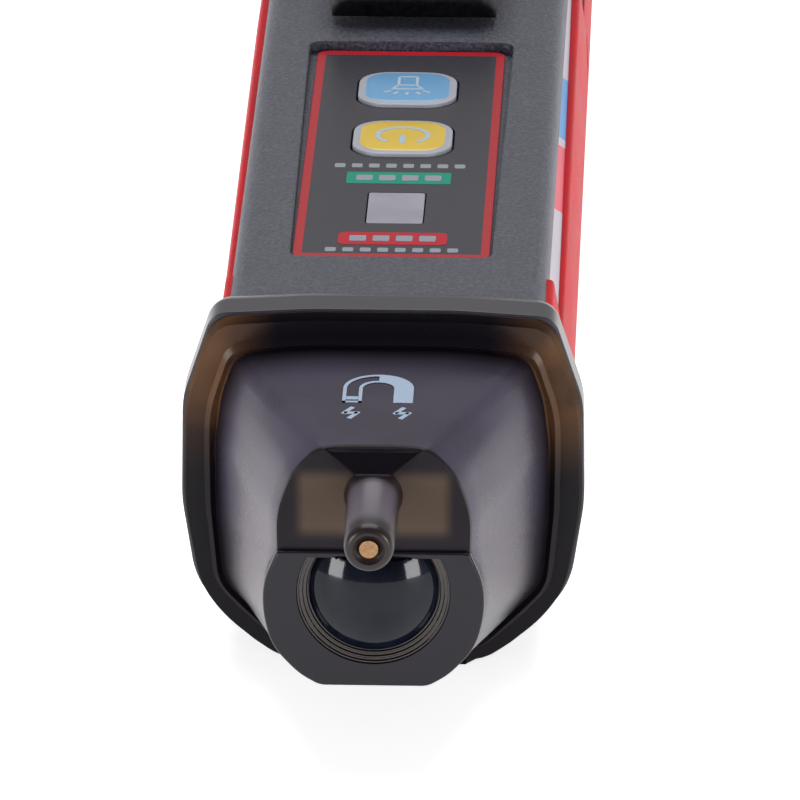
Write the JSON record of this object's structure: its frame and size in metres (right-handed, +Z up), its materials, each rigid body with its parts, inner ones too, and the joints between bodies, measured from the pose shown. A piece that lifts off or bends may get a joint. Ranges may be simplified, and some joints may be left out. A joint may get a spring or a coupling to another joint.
{
  "type": "non contact voltage tester",
  "caption": "Pen-type non-contact voltage tester with a smoked nose, probe tip, front torch, two keys, red side grips, pull-off battery cap and pocket clip.",
  "frame": {"origin": "on the flat base, under the middle of the tester's length and width", "axes": "+Y along the tester towards the battery cap, so the probe points to -Y; +Z up out of the keypad face"},
  "size_m": [0.0272, 0.151, 0.0254],
  "materials": {
    "housing_grey": "fine spark-eroded texture",
    "housing_black": "fine spark-eroded texture",
    "grip_red": "soft satin",
    "side_label": "glossy printed film",
    "front_label": "printed film with a red border",
    "key_yellow": "satin",
    "key_blue": "satin",
    "plunger_black": "satin",
    "switch_steel": "stamped",
    "window_white": "frosted light pipe",
    "led_clear": "moulded",
    "board_green": "solder mask",
    "component_black": "moulded",
    "led_red": "clear moulded",
    "smoked_clear": "polished",
    "copper": "drawn wire",
    "spring_steel": "drawn wire",
    "bright_trim": "bright plated",
    "lens_clear": "polished",
    "cell_jacket": "printed jacket",
    "contact_plate": "nickel plated",
    "seal_black": "moulded",
    "screw_steel": "black zinc"
  },
  "bodies": {
    "body": {"upper_housing": "housing_grey", "lower_housing": "housing_black", "side_grip_left": "grip_red", "side_grip_right": "grip_red", "side_label_left": "side_label", "side_label_right": "side_label", "front_label": "front_label", "tact_switches": "switch_steel", "indicator_window": "window_white", "status_leds": "led_clear", "circuit_board": "board_green", "board_components": "component_black", "buzzer": "component_black", "magnet_sensor": "component_black", "warning_led": "led_red", "nose_cap": "smoked_clear", "probe_antenna": "copper", "antenna_spring": "spring_steel", "torch_bezel": "bright_trim", "torch_lens": "lens_clear", "torch_reflector": "bright_trim", "torch_led": "led_clear", "torch_board": "board_green", "battery_carrier": "housing_black", "cell_left": "cell_jacket", "cell_right": "cell_jacket", "front_contacts": "contact_plate", "front_spring": "spring_steel", "tail_seal": "seal_black", "housing_screws": "screw_steel"},
    "power_button": {"power_key": "key_yellow", "power_switch_plunger": "plunger_black"},
    "light_button": {"light_key": "key_blue", "light_switch_plunger": "plunger_black"},
    "battery_cap": {"tail_cap": "housing_black", "cap_grip_left": "grip_red", "cap_grip_right": "grip_red", "tail_contact": "contact_plate", "tail_spring": "spring_steel"},
    "clip": {"pocket_clip": "housing_black"}
  },
  "joints": [
    {"name": "power_key_press", "type": "slide", "parent": "body", "child": "power_button", "axis": [0, 0, -1], "range_m": [0, 0.00035], "stiffness_N_per_m": 1500},
    {"name": "light_key_press", "type": "slide", "parent": "body", "child": "light_button", "axis": [0, 0, -1], "range_m": [0, 0.00035], "stiffness_N_per_m": 1500},
    {"name": "tail_cap_slide", "type": "slide", "parent": "body", "child": "battery_cap", "axis": [0, 1, 0], "range_m": [0, 0.05]},
    {"name": "clip_flex", "type": "hinge", "parent": "battery_cap", "child": "clip", "pos_m": [0, 0.06415, 0.02071], "axis": [-1, 0, 0], "range_deg": [0, 4.5], "stiffness_Nm_per_rad": 3}
  ]
}
